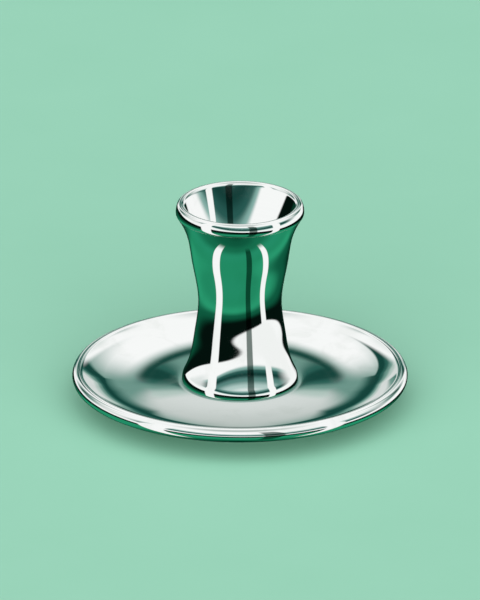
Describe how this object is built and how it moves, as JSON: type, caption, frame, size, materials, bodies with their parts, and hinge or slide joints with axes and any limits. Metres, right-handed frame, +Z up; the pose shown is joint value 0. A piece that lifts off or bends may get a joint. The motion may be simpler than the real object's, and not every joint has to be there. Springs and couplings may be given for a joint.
{
  "type": "tea glass with saucer",
  "caption": "Handleless waisted tea cup in mirror-polished steel with a round lip, standing on a shallow saucer with a beaded rim and a foot ring; the cup lifts off.",
  "frame": {"origin": "on the table, under the middle of the saucer's foot ring", "axes": "+Z up the common axis of saucer and cup; the set is turned, so X and Y are any two level directions"},
  "size_m": [0.14, 0.14, 0.0917],
  "materials": {
    "liner_polished_steel": "mirror polished",
    "shell_polished_steel": "mirror polished",
    "base_plate_polished_steel": "polished, hidden under the cup",
    "dish_polished_steel": "mirror polished",
    "foot_polished_steel": "polished"
  },
  "bodies": {
    "saucer": {"saucer_dish": "dish_polished_steel", "saucer_foot_ring": "foot_polished_steel"},
    "cup": {"cup_inner_liner": "liner_polished_steel", "cup_outer_shell": "shell_polished_steel", "cup_base_plate": "base_plate_polished_steel"}
  },
  "joints": [
    {"name": "cup_lift", "type": "slide", "parent": "saucer", "child": "cup", "axis": [0, 0, 1], "range_m": [0, 0.1]}
  ]
}
